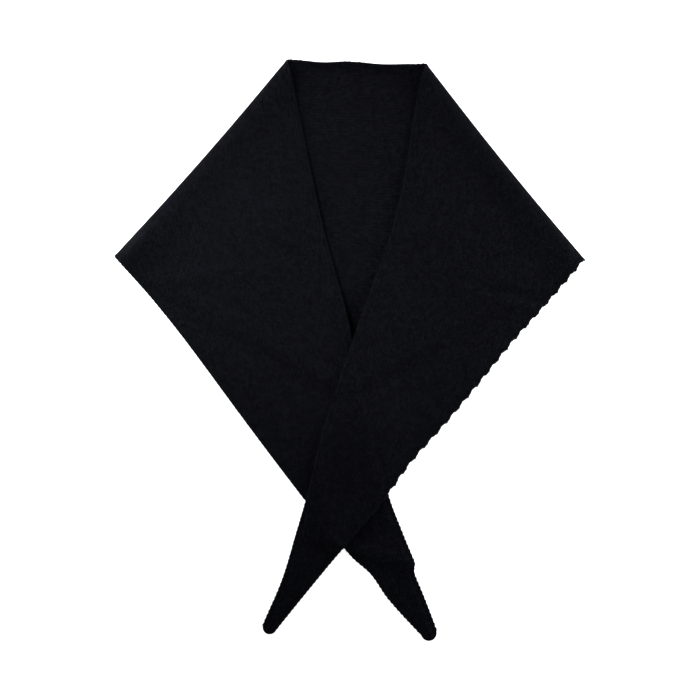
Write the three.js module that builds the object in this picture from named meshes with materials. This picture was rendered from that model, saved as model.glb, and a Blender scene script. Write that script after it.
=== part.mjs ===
// A triangular neckerchief knitted in one piece, folded to its neck shape and laid flat.
// Millimetres. +X is to the right and +Y toward the neck edge as it lies, +Z is up.
// The flat triangle is laid out first, in the plane of its back panel. Its two wings are then turned
// over at the fold lines, and each place gets its height from the layers that lie under it.

import * as THREE from "three";

// Sizes of the flat triangle
const halfLength = 700;
const fullDepth = 346;
const thickness = 2.4;
const leftTipRadius = 8.4;
const rightTipRadius = 7.6;

// Scallops along the right short edge, counted from the corner of the right fold.
// Each is longer than the one before it by scallopStretch, and the tail has none:
// they fade between two shares of halfLength.
const scallopPitch = 15.1;
const scallopStretch = 0.15;
const scallopHeight = 1.9;
const scallopStart = 6.7;
const scallopClimb = 0.68;
const scallopFade = 0.77;
const scallopEnd = 0.85;

// How the wings are folded over the back panel
const leftFoldFromMiddle = 69;
const rightFoldFromMiddle = 81;
const leftFoldAngle = THREE.MathUtils.degToRad(48.7);
const rightFoldAngle = THREE.MathUtils.degToRad(51.05);
const foldRadius = 1.8;
const rollHeight = 4.9;
const rollDepth = 9.8;
const rollEase = 0.78;
const foldSettle = 25;
const foldBow = 2.2;
const foldBowReach = 40;

// How the layers lie on each other. The step down beside a layer starts inside its round edge.
const layerGap = 0.7;
const stepStart = -3;
const stepLength = 24;
const topLayerBridge = 4;

// Storage creases
const creaseHeight = 2;
const creaseReach = 9;

// Spacing of the facets
const columns = 14;
const wingSections = 44;
const settleSections = 3;
const rollSections = 6;
const underSections = 3;
const panelSections = 9;
const tipAngles = [0, 32, 58, 76].map(THREE.MathUtils.degToRad);
const scallopFacet = 4.1;

// The long edge: how far it rises above the level of the neck edge.
// along is a share of halfLength from the middle, rise a share of fullDepth.
const longEdgeRows = [
  { along: -1.05, rise: 0.265 },
  { along: -1.0, rise: 0.247 },
  { along: -0.929, rise: 0.213 },
  { along: -0.9, rise: 0.197 },
  { along: -0.89, rise: 0.1935 },
  { along: -0.884, rise: 0.197 },
  { along: -0.877, rise: 0.199 },
  { along: -0.869, rise: 0.195 },
  { along: -0.836, rise: 0.177 },
  { along: -0.771, rise: 0.146 },
  { along: -0.643, rise: 0.118 },
  { along: -0.5, rise: 0.092 },
  { along: -0.357, rise: 0.053 },
  { along: -0.214, rise: 0.029 },
  { along: -0.086, rise: 0.009 },
  { along: -0.043, rise: -0.001 },
  { along: 0, rise: 0.001 },
  { along: 0.05, rise: -0.007 },
  { along: 0.1, rise: -0.005 },
  { along: 0.143, rise: 0.002 },
  { along: 0.214, rise: -0.002 },
  { along: 0.3, rise: -0.011 },
  { along: 0.371, rise: -0.008 },
  { along: 0.429, rise: 0.005 },
  { along: 0.5, rise: 0.026 },
  { along: 0.571, rise: 0.044 },
  { along: 0.643, rise: 0.059 },
  { along: 0.714, rise: 0.072 },
  { along: 0.786, rise: 0.076 },
  { along: 0.857, rise: 0.086 },
  { along: 0.929, rise: 0.098 },
  { along: 1.0, rise: 0.126 },
  { along: 1.06, rise: 0.15 },
];

// The two short edges: how far they drop below the level of the neck edge, in the same shares.
const shortEdgeRows = [
  { along: -1.05, drop: -0.277 },
  { along: -1.0, drop: -0.207 },
  { along: -0.929, drop: -0.106 },
  { along: -0.886, drop: -0.06 },
  { along: -0.857, drop: -0.01 },
  { along: -0.771, drop: 0.1 },
  { along: -0.643, drop: 0.249 },
  { along: -0.5, drop: 0.41 },
  { along: -0.429, drop: 0.497 },
  { along: -0.357, drop: 0.595 },
  { along: -0.296, drop: 0.682 },
  { along: -0.214, drop: 0.775 },
  { along: -0.08, drop: 0.928 },
  { along: -0.036, drop: 0.977 },
  { along: -0.014, drop: 0.992 },
  { along: 0.007, drop: 0.977 },
  { along: 0.089, drop: 0.89 },
  { along: 0.214, drop: 0.758 },
  { along: 0.357, drop: 0.604 },
  { along: 0.429, drop: 0.526 },
  { along: 0.5, drop: 0.444 },
  { along: 0.571, drop: 0.371 },
  { along: 0.643, drop: 0.295 },
  { along: 0.714, drop: 0.214 },
  { along: 0.786, drop: 0.149 },
  { along: 0.857, drop: 0.072 },
  { along: 0.929, drop: -0.004 },
  { along: 1.0, drop: -0.077 },
  { along: 1.06, drop: -0.137 },
];

// Creases of a triangle that was stored folded in equal lengths, square to its long edge.
// atLong and atShort are where a crease meets those edges, as shares of halfLength from the middle.
// It is flat at the share "fade" of the way from the long to the short edge and whole at "whole".
// rise is a share of creaseHeight, reach of creaseReach. A valley lies along the middle of a low
// swell that is "wide" times as wide as the valley, and a ridge has no such swell.
const creaseRows = [
  {
    name: "left wing", atLong: -0.411, atShort: -0.402, fade: 0.05, whole: 0.7,
    rise: 0.7, reach: 1.1, wide: 0,
  },
  {
    name: "right wing", atLong: 0.4245, atShort: 0.4305, fade: 0.25, whole: 0.8,
    rise: 0.55, reach: 0.8, wide: 3,
  },
  {
    name: "left tail", atLong: -0.881, atShort: -0.841, fade: -1, whole: 0,
    rise: 1.15, reach: 1.4, wide: 0,
  },
  {
    name: "right tail", atLong: 0.889, atShort: 0.861, fade: -1, whole: 0,
    rise: 0.4, reach: 1.1, wide: 2.2,
  },
];

// Small helpers
const lerp = THREE.MathUtils.lerp;

function smooth(share) {
  const s = THREE.MathUtils.clamp(share, 0, 1);
  return s * s * (3 - 2 * s);
}

function edgeCurve(rows, column, sign) {
  // A smooth curve through the rows, as a height over the distance from the middle.
  const knots = rows.map((row) => ({ x: row.along * halfLength, y: sign * row[column] * fullDepth }));
  const slopes = knots.map((knot, k) => {
    const before = knots[Math.max(k - 1, 0)];
    const after = knots[Math.min(k + 1, knots.length - 1)];
    return (after.y - before.y) / (after.x - before.x);
  });
  return (x) => {
    let k = 0;
    while (k < knots.length - 2 && x > knots[k + 1].x) {
      k += 1;
    }
    const span = knots[k + 1].x - knots[k].x;
    const u = (x - knots[k].x) / span;
    if (u < 0) {
      return knots[k].y + slopes[k] * (x - knots[k].x);
    }
    if (u > 1) {
      return knots[k + 1].y + slopes[k + 1] * (x - knots[k + 1].x);
    }
    const bend = u * (1 - u) * span * (slopes[k] * (1 - u) - slopes[k + 1] * u);
    return lerp(knots[k].y, knots[k + 1].y, smooth(u)) + bend;
  };
}

function slopeCosine(curve, x) {
  // How much shorter the square distance to a curve is than the upright one.
  const run = 1;
  return run / Math.hypot(run, curve(x + run / 2) - curve(x - run / 2));
}

const longEdge = edgeCurve(longEdgeRows, "rise", 1);
const shortEdge = edgeCurve(shortEdgeRows, "drop", -1);
const apexRow = shortEdgeRows.reduce((lowest, row) => (row.drop > lowest.drop ? row : lowest));
const apexX = apexRow.along * halfLength;

// The fold lines, each from the neck edge down to its corner
function makeFold(fromMiddle, angle, side) {
  return {
    start: new THREE.Vector2(side * fromMiddle, 0),
    down: new THREE.Vector2(side * Math.cos(angle), -Math.sin(angle)),
    out: new THREE.Vector2(side * Math.sin(angle), Math.cos(angle)),
  };
}

function edgeOnParallel(fold, out, curve) {
  // Where a line beside the fold line, out from it, crosses an edge of the flat triangle.
  let above = -fullDepth;
  let below = 3 * fullDepth;
  const place = new THREE.Vector2();
  for (let pass = 0; pass < 50; pass += 1) {
    const middle = (above + below) / 2;
    place.copy(fold.start).addScaledVector(fold.out, out).addScaledVector(fold.down, middle);
    if (place.y > curve(place.x)) {
      above = middle;
    } else {
      below = middle;
    }
  }
  return place.clone();
}

function measuredFrom(fold, x, y) {
  const offset = new THREE.Vector2(x, y).sub(fold.start);
  return { out: offset.dot(fold.out), down: offset.dot(fold.down) };
}

const leftFold = makeFold(leftFoldFromMiddle, leftFoldAngle, -1);
const rightFold = makeFold(rightFoldFromMiddle, rightFoldAngle, 1);
for (const fold of [leftFold, rightFold]) {
  fold.length = fold.start.distanceTo(edgeOnParallel(fold, 0, shortEdge));
}

// Tips: where the edges have come together to the width of the round end
function makeTip(side, radius) {
  let inner = side * halfLength * 0.5;
  let outer = side * halfLength * 1.2;
  for (let pass = 0; pass < 50; pass += 1) {
    const middle = (inner + outer) / 2;
    const width = (longEdge(middle) - shortEdge(middle)) * slopeCosine(tipMiddleLine, middle);
    if (width > 2 * radius) {
      inner = middle;
    } else {
      outer = middle;
    }
  }
  const centre = new THREE.Vector2(inner, tipMiddleLine(inner));
  const axis = new THREE.Vector2(inner + side, tipMiddleLine(inner + side)).sub(centre).normalize();
  const across = new THREE.Vector2(-axis.y, axis.x).multiplyScalar(side);
  return { centre, axis, across, radius };
}

function tipMiddleLine(x) {
  return (longEdge(x) + shortEdge(x)) / 2;
}

const leftTip = makeTip(-1, leftTipRadius);
const rightTip = makeTip(1, rightTipRadius);

// Heights of the layers
const layerStep = thickness + layerGap;
const tableHeight = thickness / 2;
const foldReach = foldRadius + thickness / 2;
const crestReach = rollDepth + thickness / 2;

function supported(outside) {
  // 1 over a layer, 0 past the step that comes down beside its edge.
  return 1 - smooth((outside - stepStart) / stepLength);
}

function overPanel(x, y, bridge) {
  return supported((shortEdge(x) - y) * slopeCosine(shortEdge, x) - bridge);
}

function unfolded(fold, x, y) {
  // The place of the flat triangle that lies at x, y once its wing is turned over.
  const { out } = measuredFrom(fold, x, y);
  return new THREE.Vector2(x, y).addScaledVector(fold.out, -2 * out);
}

function overLeftWing(flat) {
  const pastLong = (flat.y - longEdge(flat.x)) * slopeCosine(longEdge, flat.x);
  const pastShort = (shortEdge(flat.x) - flat.y) * slopeCosine(shortEdge, flat.x);
  const pastTip = leftTip.centre.x - flat.x - leftTip.radius;
  return supported(Math.max(pastLong, pastShort, pastTip) - topLayerBridge);
}

function creaseRise(flat) {
  const across = (longEdge(flat.x) - flat.y) / (longEdge(flat.x) - shortEdge(flat.x));
  let height = 0;
  for (const row of creaseRows) {
    const crease = lerp(row.atLong, row.atShort, across) * halfLength;
    const away = ((flat.x - crease) / (row.reach * creaseReach)) ** 2;
    const valley = row.wide > 0;
    const swell = valley ? Math.exp(-away / row.wide ** 2) - Math.exp(-away) : Math.exp(-away);
    height += row.rise * creaseHeight * swell * smooth((across - row.fade) / (row.whole - row.fade));
  }
  return height;
}

function leftWingHeight(flat, x, y) {
  return tableHeight + layerStep * overPanel(x, y, 0) + creaseRise(flat);
}

function rightWingHeight(flat, x, y) {
  const below = unfolded(leftFold, x, y);
  const over = overLeftWing(below);
  const lifted = (layerStep + creaseRise(below)) * over;
  return tableHeight + layerStep * overPanel(x, y, topLayerBridge) + lifted + creaseRise(flat);
}

// The roll at a fold: tight below the fold line, then long and low up to its crest
function rolledOver(out) {
  // How far out from the fold line and how high the middle of the sheet lies.
  if (out <= -foldReach) {
    return { reached: out, height: tableHeight };
  }
  if (out <= 0) {
    const turn = ((1 + out / foldReach) * Math.PI) / 2;
    const height = tableHeight + foldRadius * (1 - Math.cos(turn));
    return { reached: foldRadius * Math.sin(turn) - foldReach, height };
  }
  const middleHeight = tableHeight + foldRadius;
  if (out < crestReach) {
    const turn = (Math.PI / 2) * (out / crestReach) ** rollEase;
    const height = middleHeight + rollHeight * Math.sin(turn);
    return { reached: rollDepth * Math.cos(turn) - crestReach, height };
  }
  return { reached: -out, height: middleHeight + rollHeight };
}

// Folding: from a place of the flat triangle to the middle of the sheet as it lies
function foldOver(fold, wingHeight, x, y) {
  const { out, down } = measuredFrom(fold, x, y);
  const bow = foldBow * Math.sin(Math.PI * THREE.MathUtils.clamp(down / fold.length, 0, 1));
  const inward = bow * Math.exp(-((out / foldBowReach) ** 2));
  const rolled = rolledOver(out);
  const folded = new THREE.Vector2(x, y).addScaledVector(fold.out, rolled.reached - out - inward);
  const settled = wingHeight(new THREE.Vector2(x, y), folded.x, folded.y);
  const height = lerp(rolled.height, settled, smooth((out - crestReach) / foldSettle));
  return new THREE.Vector3(folded.x, folded.y, height);
}

function foldedPlace(x, y) {
  if (measuredFrom(leftFold, x, y).out > measuredFrom(rightFold, x, y).out) {
    return foldOver(leftFold, leftWingHeight, x, y);
  }
  return foldOver(rightFold, rightWingHeight, x, y);
}

function foldedFrame(flat) {
  // The folded place with the direction that was up on the flat triangle.
  const step = 0.2;
  const middle = foldedPlace(flat.x, flat.y);
  const alongX = foldedPlace(flat.x + step, flat.y).sub(foldedPlace(flat.x - step, flat.y));
  const alongY = foldedPlace(flat.x, flat.y + step).sub(foldedPlace(flat.x, flat.y - step));
  return { middle, up: alongX.cross(alongY).normalize() };
}

// Scallops, a slow climb and a quick fall in each
const rightCorner = edgeOnParallel(rightFold, 0, shortEdge);
const rightRun = rightTip.centre.clone().sub(rightCorner);

function scallopAt(x) {
  if (x < apexX) {
    return 0;
  }
  const run = ((x - rightCorner.x) * rightRun.length()) / rightRun.x - scallopStart;
  const pitchHere = Math.sqrt(Math.max(scallopPitch ** 2 + 2 * scallopStretch * run, 0));
  const count = (pitchHere - scallopPitch) / scallopStretch;
  const phase = count - Math.floor(count);
  const share = phase < scallopClimb ? phase / scallopClimb : (1 - phase) / (1 - scallopClimb);
  const fading = smooth((scallopEnd - x / halfLength) / (scallopEnd - scallopFade));
  return (share - 0.5) * scallopHeight * fading;
}

function shortEdgePlace(x) {
  return new THREE.Vector2(x, shortEdge(x) - scallopAt(x) / slopeCosine(shortEdge, x));
}

function longEdgePlace(x) {
  return new THREE.Vector2(x, longEdge(x));
}

// Sections across the flat triangle, from the left tip to the right one
const edgeInset = thickness / 2;

function towards(from, to, distance) {
  return to.clone().sub(from).setLength(distance).add(from);
}

function sectionBetween(topX, bottomX) {
  const top = longEdgePlace(topX);
  const bottom = shortEdgePlace(bottomX);
  return {
    topX,
    bottomX,
    outerTop: top,
    outerBottom: bottom,
    innerTop: towards(top, bottom, edgeInset),
    innerBottom: towards(bottom, top, edgeInset),
  };
}

function sectionBesideFold(fold, out) {
  return sectionBetween(edgeOnParallel(fold, out, longEdge).x, edgeOnParallel(fold, out, shortEdge).x);
}

function tipPlace(tip, radius, angle, side) {
  const forward = radius * Math.sin(angle);
  const sideways = side * radius * Math.cos(angle);
  return tip.centre.clone().addScaledVector(tip.axis, forward).addScaledVector(tip.across, sideways);
}

function tipSections(tip) {
  return tipAngles.map((angle) => ({
    outerTop: tipPlace(tip, tip.radius, angle, 1),
    outerBottom: tipPlace(tip, tip.radius, angle, -1),
    innerTop: tipPlace(tip, tip.radius - edgeInset, angle, 1),
    innerBottom: tipPlace(tip, tip.radius - edgeInset, angle, -1),
  }));
}

function evenSections(from, to, count) {
  // The sections between two given ones, without them.
  return Array.from({ length: count - 1 }, (_, k) => {
    const share = (k + 1) / count;
    return sectionBetween(lerp(from.topX, to.topX, share), lerp(from.bottomX, to.bottomX, share));
  });
}

function foldSections(fold) {
  // From the settled wing, round the fold, to the back panel.
  const settle = Array.from({ length: settleSections }, (_, k) =>
    sectionBesideFold(fold, crestReach + foldSettle * (1 - k / settleSections)));
  const roll = Array.from({ length: rollSections }, (_, k) =>
    sectionBesideFold(fold, crestReach * (1 - k / rollSections)));
  const under = Array.from({ length: underSections + 1 }, (_, k) =>
    sectionBesideFold(fold, (-foldReach * k) / underSections));
  return [...settle, ...roll, ...under];
}

function wingSectionsTo(fold, tip) {
  // From the tip's round end to the settled edge of the fold.
  const tips = tipSections(tip).reverse();
  const root = { topX: tip.centre.x, bottomX: tip.centre.x };
  root.topX += tip.across.x * tip.radius;
  root.bottomX -= tip.across.x * tip.radius;
  return [...tips, ...evenSections(root, sectionBesideFold(fold, crestReach + foldSettle), wingSections)];
}

function allSections() {
  const left = [...wingSectionsTo(leftFold, leftTip), ...foldSections(leftFold)];
  const right = [...wingSectionsTo(rightFold, rightTip), ...foldSections(rightFold)].reverse();
  return [...left, ...evenSections(left.at(-1), right[0], panelSections), ...right];
}

// The solid: an upper and a lower face joined by a ring along the middle of the sheet's edge
class SheetBuilder {
  constructor() {
    this.vertices = [];
    this.triangles = [];
  }

  addVertex(place) {
    this.vertices.push(place.x, place.y, place.z);
    return this.vertices.length / 3 - 1;
  }

  addFacePair(flat) {
    // One vertex on the upper face and one below it on the lower face.
    const { middle, up } = foldedFrame(flat);
    const upper = this.addVertex(middle.clone().addScaledVector(up, thickness / 2));
    const lower = this.addVertex(middle.clone().addScaledVector(up, -thickness / 2));
    return { upper, lower };
  }

  addRing(flat) {
    return this.addVertex(foldedPlace(flat.x, flat.y));
  }

  addTriangle(a, b, c) {
    // Counterclockwise on the flat triangle, so the upper face points up there.
    this.triangles.push(a.upper, b.upper, c.upper);
    this.triangles.push(c.lower, b.lower, a.lower);
  }

  addEdge(a, b, ringA, ringB) {
    // a to b runs counterclockwise round the sheet.
    this.triangles.push(a.upper, ringA, ringB, a.upper, ringB, b.upper);
    this.triangles.push(ringA, a.lower, b.lower, ringA, b.lower, ringB);
  }

  geometry() {
    const result = new THREE.BufferGeometry();
    result.setAttribute("position", new THREE.Float32BufferAttribute(this.vertices, 3));
    result.setIndex(this.triangles);
    return result;
  }
}

function edgeSteps(section, next) {
  // Facets along the short edge between two sections: several in every scallop, else one.
  if (section.bottomX === undefined || next.bottomX === undefined || section.bottomX < apexX) {
    return 1;
  }
  const length = section.outerBottom.distanceTo(next.outerBottom);
  return Math.max(1, Math.round(length / scallopFacet));
}

function buildTriangle() {
  const sheet = new SheetBuilder();
  const sections = allSections();
  const last = sections.length - 1;

  // Vertices of the sections, without their places on the short edge
  const grid = sections.map((section) =>
    Array.from({ length: columns }, (_, j) =>
      sheet.addFacePair(section.innerTop.clone().lerp(section.innerBottom, j / columns))));
  const longRing = sections.map((section) => sheet.addRing(section.outerTop));

  // Vertices along the short edge
  const shortRow = [];
  sections.forEach((section, i) => {
    const face = sheet.addFacePair(section.innerBottom);
    shortRow.push([{ face, ring: sheet.addRing(section.outerBottom) }]);
    if (i === last) {
      return;
    }
    const next = sections[i + 1];
    const steps = edgeSteps(section, next);
    for (let k = 1; k < steps; k += 1) {
      const share = k / steps;
      const outer = shortEdgePlace(lerp(section.bottomX, next.bottomX, share));
      const inner = towards(outer, section.outerTop.clone().lerp(next.outerTop, share), edgeInset);
      shortRow[i].push({ face: sheet.addFacePair(inner), ring: sheet.addRing(outer) });
    }
  });

  // Faces between neighbouring sections
  for (let i = 0; i < last; i += 1) {
    const here = grid[i];
    const next = grid[i + 1];
    for (let j = 0; j < columns - 1; j += 1) {
      sheet.addTriangle(here[j], here[j + 1], next[j + 1]);
      sheet.addTriangle(here[j], next[j + 1], next[j]);
    }
    sheet.addEdge(next[0], here[0], longRing[i + 1], longRing[i]);

    // The strip that meets the short edge, a fan from each of the two sections
    const fine = [...shortRow[i], shortRow[i + 1][0]];
    const turning = Math.ceil((fine.length - 1) / 2);
    for (let k = 0; k < fine.length - 1; k += 1) {
      const corner = k < turning ? here[columns - 1] : next[columns - 1];
      sheet.addTriangle(corner, fine[k].face, fine[k + 1].face);
      sheet.addEdge(fine[k].face, fine[k + 1].face, fine[k].ring, fine[k + 1].ring);
    }
    sheet.addTriangle(here[columns - 1], fine[turning].face, next[columns - 1]);
  }

  // Round ends of the two tips
  for (const [tip, i] of [[leftTip, 0], [rightTip, last]]) {
    const corner = shortRow[i][0];
    closeTip(sheet, tip, [...grid[i], corner.face], longRing[i], corner.ring);
  }
  return sheet.geometry();
}

function closeTip(sheet, tip, faces, topRing, bottomRing) {
  // The last facets of a round end, between its first and last ring vertex.
  const lastAngle = tipAngles.at(-1);
  const rings = [topRing];
  for (let j = 1; j < faces.length - 1; j += 1) {
    const angle = lerp(lastAngle, Math.PI - lastAngle, j / (faces.length - 1));
    rings.push(sheet.addRing(tipPlace(tip, tip.radius, angle, 1)));
  }
  rings.push(bottomRing);
  for (let j = 0; j < faces.length - 1; j += 1) {
    if (tip.axis.x < 0) {
      sheet.addEdge(faces[j], faces[j + 1], rings[j], rings[j + 1]);
    } else {
      sheet.addEdge(faces[j + 1], faces[j], rings[j + 1], rings[j]);
    }
  }
}

// Near-black wool, centred over its own outline and standing on z = 0
function knittedTriangle() {
  const geometry = buildTriangle();
  geometry.computeBoundingBox();
  const box = geometry.boundingBox;
  geometry.translate(-(box.min.x + box.max.x) / 2, -(box.min.y + box.max.y) / 2, -box.min.z);
  geometry.computeVertexNormals();
  const wool = new THREE.MeshStandardMaterial({ color: 0x15161a, roughness: 0.95, metalness: 0 });
  const mesh = new THREE.Mesh(geometry, wool);
  mesh.name = "knitted_triangle";
  return mesh;
}

const group = new THREE.Group();
group.add(knittedTriangle());

export default group;
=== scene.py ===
# The looks of a near-black knitted triangular neckerchief, folded and laid flat, seen from above.
# Metres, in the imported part's frame: +X right, +Y to the neck edge, +Z up from the surface.
import math

import bpy
import numpy as np
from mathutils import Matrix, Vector


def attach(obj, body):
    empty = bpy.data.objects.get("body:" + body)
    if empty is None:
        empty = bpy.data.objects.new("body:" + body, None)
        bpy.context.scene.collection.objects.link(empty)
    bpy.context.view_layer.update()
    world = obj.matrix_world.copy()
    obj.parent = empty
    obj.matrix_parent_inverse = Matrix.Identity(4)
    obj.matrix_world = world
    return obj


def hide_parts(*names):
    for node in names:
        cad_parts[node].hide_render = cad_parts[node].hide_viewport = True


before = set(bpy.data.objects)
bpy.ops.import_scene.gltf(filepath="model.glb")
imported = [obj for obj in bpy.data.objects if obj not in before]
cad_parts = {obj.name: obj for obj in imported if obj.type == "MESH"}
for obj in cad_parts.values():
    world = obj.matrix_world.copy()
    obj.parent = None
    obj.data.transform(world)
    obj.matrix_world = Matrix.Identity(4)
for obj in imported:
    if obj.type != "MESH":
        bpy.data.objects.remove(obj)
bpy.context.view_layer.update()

# Sizes of the flat triangle
HALF_LENGTH = 0.700
FULL_DEPTH = 0.346
THICKNESS = 0.0024
LEFT_TIP_RADIUS = 0.0084
RIGHT_TIP_RADIUS = 0.0076

# Scallops along the right short edge, counted from the corner of the right fold
SCALLOP_PITCH = 0.0151
SCALLOP_STRETCH = 0.00015
SCALLOP_HEIGHT = 0.0019
SCALLOP_START = 0.0067
SCALLOP_CLIMB = 0.68
SCALLOP_FADE = 0.77
SCALLOP_END = 0.85

# The folds
LEFT_FOLD_FROM_MIDDLE = 0.069
RIGHT_FOLD_FROM_MIDDLE = 0.081
LEFT_FOLD_ANGLE = math.radians(48.7)
RIGHT_FOLD_ANGLE = math.radians(51.05)
FOLD_RADIUS = 0.0018
ROLL_HEIGHT = 0.0063
ROLL_DEPTH = 0.0098
FOLD_SETTLE = 0.025
CORNER_SETTLE = 1.7
CORNER_FROM = 0.56
CORNER_WHOLE = 0.96
FOLD_BOW = 0.0022
FOLD_BOW_REACH = 0.040

# How the layers lie on each other
LAYER_GAP = 0.0007
STEP_START = -0.003
STEP_LENGTH = 0.017
SOFT_STEP_LENGTH = 0.046
TOP_LAYER_BRIDGE = 0.004

# The gentle unevenness of every layer: seeded noise of three sizes
UNEVEN_HEIGHT = 0.0003
UNEVEN_SIZE = 0.045
UNEVEN_SEED = 7
CLOUD_WEIGHTS = (0.5, 0.3, 0.2)
CLOUD_SHRINK = 0.55
CLOUD_CELLS = 64
CLOUD_CORNER = 20.5

# Storage creases: the height and half width that the rows below take shares of
CREASE_HEIGHT = 0.002
CREASE_REACH = 0.009

# The neck edge between the folds curls up
CURL_HEIGHT = 0.0056
CURL_REACH = 0.0110
CURL_FROM_FOLD = 0.014

# The wings are a little puffed up and come down at their long edges
PUFF_HEIGHT = 0.0013
PUFF_REACH = 0.008

# Soft swells of the cloth as it lies: middle, half size along and across, turn in degrees, height
WING_SWELLS = [
    {"x": -0.226, "y": 0.111, "along": 0.030, "across": 0.017, "turn": 48, "rise": 0.0055},
    {"x": -0.078, "y": 0.128, "along": 0.052, "across": 0.034, "turn": 60, "rise": 0.0034},
    {"x": -0.066, "y": 0.114, "along": 0.026, "across": 0.0055, "turn": -28, "rise": 0.0018},
    {"x": -0.120, "y": -0.011, "along": 0.055, "across": 0.022, "turn": -48, "rise": 0.0026},
    {"x": 0.112, "y": 0.118, "along": 0.050, "across": 0.034, "turn": -60, "rise": 0.0020},
    {"x": 0.157, "y": -0.007, "along": 0.060, "across": 0.024, "turn": 45, "rise": 0.0030},
    {"x": 0.014, "y": -0.030, "along": 0.070, "across": 0.040, "turn": 75, "rise": 0.0018},
    {"x": 0.008, "y": -0.080, "along": 0.048, "across": 0.055, "turn": 90, "rise": 0.0058},
    {"x": 0.003, "y": 0.036, "along": 0.040, "across": 0.028, "turn": 90, "rise": 0.0024},
]
PANEL_SWELLS = [
    {"x": -0.003, "y": 0.164, "along": 0.020, "across": 0.0035, "turn": 26, "rise": 0.0011},
    {"x": 0.030, "y": 0.178, "along": 0.014, "across": 0.0030, "turn": 20, "rise": 0.0009},
]

# The knit: courses are counted along the long edge and wales down from it
COURSE = 0.00227
WALE = 0.00337
CALM_SPAN = 0.060
CALM_KNOTS = 120
WAVE_DEPTH = 0.040

# The loops of the edge stitches: each is longer than its spacing, so that they overlap
LOOP_LENGTH = 0.0052
LOOP_OVERLAP = 1.24
LOOP_WIDTH = 0.0030
LOOP_HEIGHT = 0.0032
LOOP_INSET = 0.0013
LOOP_TURN = 22
LOOP_RINGS = 5
LOOP_SIDES = 8
LOOP_LOWEST = 0.0001
LOOP_EDGE_SAMPLES = 6000
LOOP_LOOK_AHEAD = 0.0005

# The bead along the long edge with a groove beside it
BEAD_HEIGHT = 0.0003
BEAD_FROM_EDGE = 0.0016
BEAD_WIDTH = 0.0017
GROOVE_DEPTH = 0.0004
GROOVE_FROM_EDGE = 0.0050
GROOVE_WIDTH = 0.0020

# Facets of the sheet
COLUMNS = 62
EDGE_COLUMNS = 9
EDGE_SHARE = 0.045
LEFT_WING_SECTIONS = 150
RIGHT_WING_SECTIONS = 185
SETTLE_SECTIONS = 9
ROLL_SECTIONS = 16
UNDER_SECTIONS = 8
PANEL_SECTIONS = 70
TIP_SECTIONS = 9
TIP_LAST_ANGLE = math.radians(82)
MOST_INSET = 0.3
ROUND_ANGLES = np.radians([35, 65, 90, 115, 145])

# The wool: painted shade for the grooves between the stitches, the yarn's own colour on them, and its
# finish
WOOL_GROOVE_PAINTED_SHADE = (0.0002, 0.00022, 0.00029)
WOOL_RIDGE = (0.0071, 0.0078, 0.0112)
WOOL_ROUGHNESS = 0.9
WOOL_SPECULAR = 0.02
SHEEN = 0.012
SHEEN_ROUGHNESS = 0.5
SHEEN_TINT = (0.85, 0.9, 1.0, 1.0)

# The form of a stitch: how far it drifts, how its legs lean and where it lies lower and is painted
# darker, as painted shade in its hollows
COURSE_DRIFT = 1.5
COURSE_DRIFT_SCALE = 160
WALE_DRIFT = 1.0
WALE_DRIFT_SCALE = 95
LEG_LEAN = 0.8
LEG_ROUNDNESS = 0.8
BETWEEN_WALES_DARK = 0.75
BETWEEN_WALES_POWER = 3.0
MIDDLE_LINE_DARK = 0.6
MIDDLE_LINE_POWER = 4.0
STITCH_SHADE_CONTRAST = 1.2

# Relief and loose fibres of the knit and of the bare yarn
KNIT_RELIEF = 0.00006
FIBRE_SCALE = 2200
FIBRE_DETAIL = 3.0
FIBRE_SHARE = 0.3
YARN_RELIEF = 0.0003
YARN_FIBRE_SCALE = 2600

# Heather: each leg's own tone, tufts, broad patches and pale flecks
OWN_TONE = 0.88
TUFT_SCALE = 420
TUFT_TONE = 1.5
HEATHER_SCALE = 150
HEATHER_TONE = 0.8
FLECK_SCALE = 700
FLECK_DETAIL = 1.0
FLECK_FROM = 0.62
FLECK_TONE = 4.0

# The photograph's frame and the camera that fits it
PIXELS = 700
METRES_PER_PIXEL = 0.0010641
PHOTO_CENTRE_X = 349.65
PHOTO_CENTRE_Y = 350.1
CAMERA_HEIGHT = 2.8
CAMERA_NEAR = 0.1
CAMERA_FAR = 20
SENSOR = 36.0

# The light table and the ring of softboxes, each aimed at a place on it
FLOOR_HALF = 15
FLOOR_LOW = (0.9, 0.9, 0.9)
FLOOR_HIGH = (0.92, 0.92, 0.92)
FLOOR_GRAIN_SCALE = 40
FLOOR_ROUGHNESS = 0.9
WORLD_STRENGTH = 0.01
SOFTBOX_SIZE = 0.4
RING_ELEVATION = 15
OPEN_SPREAD = 180
LIGHT_ROWS = [
    {"name": "left_side", "azimuth": -115, "distance": 0.7, "power": 1.1, "aim": (-0.20, -0.09)},
    {"name": "left_middle", "azimuth": -58, "distance": 0.8, "power": 4.1, "aim": (-0.20, 0.12)},
    {"name": "left_top", "azimuth": -20, "distance": 0.85, "power": 1.4, "aim": (-0.09, 0.23)},
    {"name": "right_top", "azimuth": 24, "distance": 0.85, "power": 1.9, "aim": (0.10, 0.22)},
    {"name": "right_middle", "azimuth": 68, "distance": 0.8, "power": 4.45, "aim": (0.21, 0.09)},
    {"name": "right_side", "azimuth": 112, "distance": 0.7, "power": 2.65, "aim": (0.20, -0.09)},
    {"name": "left_grid", "azimuth": -65, "distance": 1.4, "power": 0.52, "aim": (-0.165, 0.125),
     "elevation": 40, "spread": 24},
]

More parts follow.
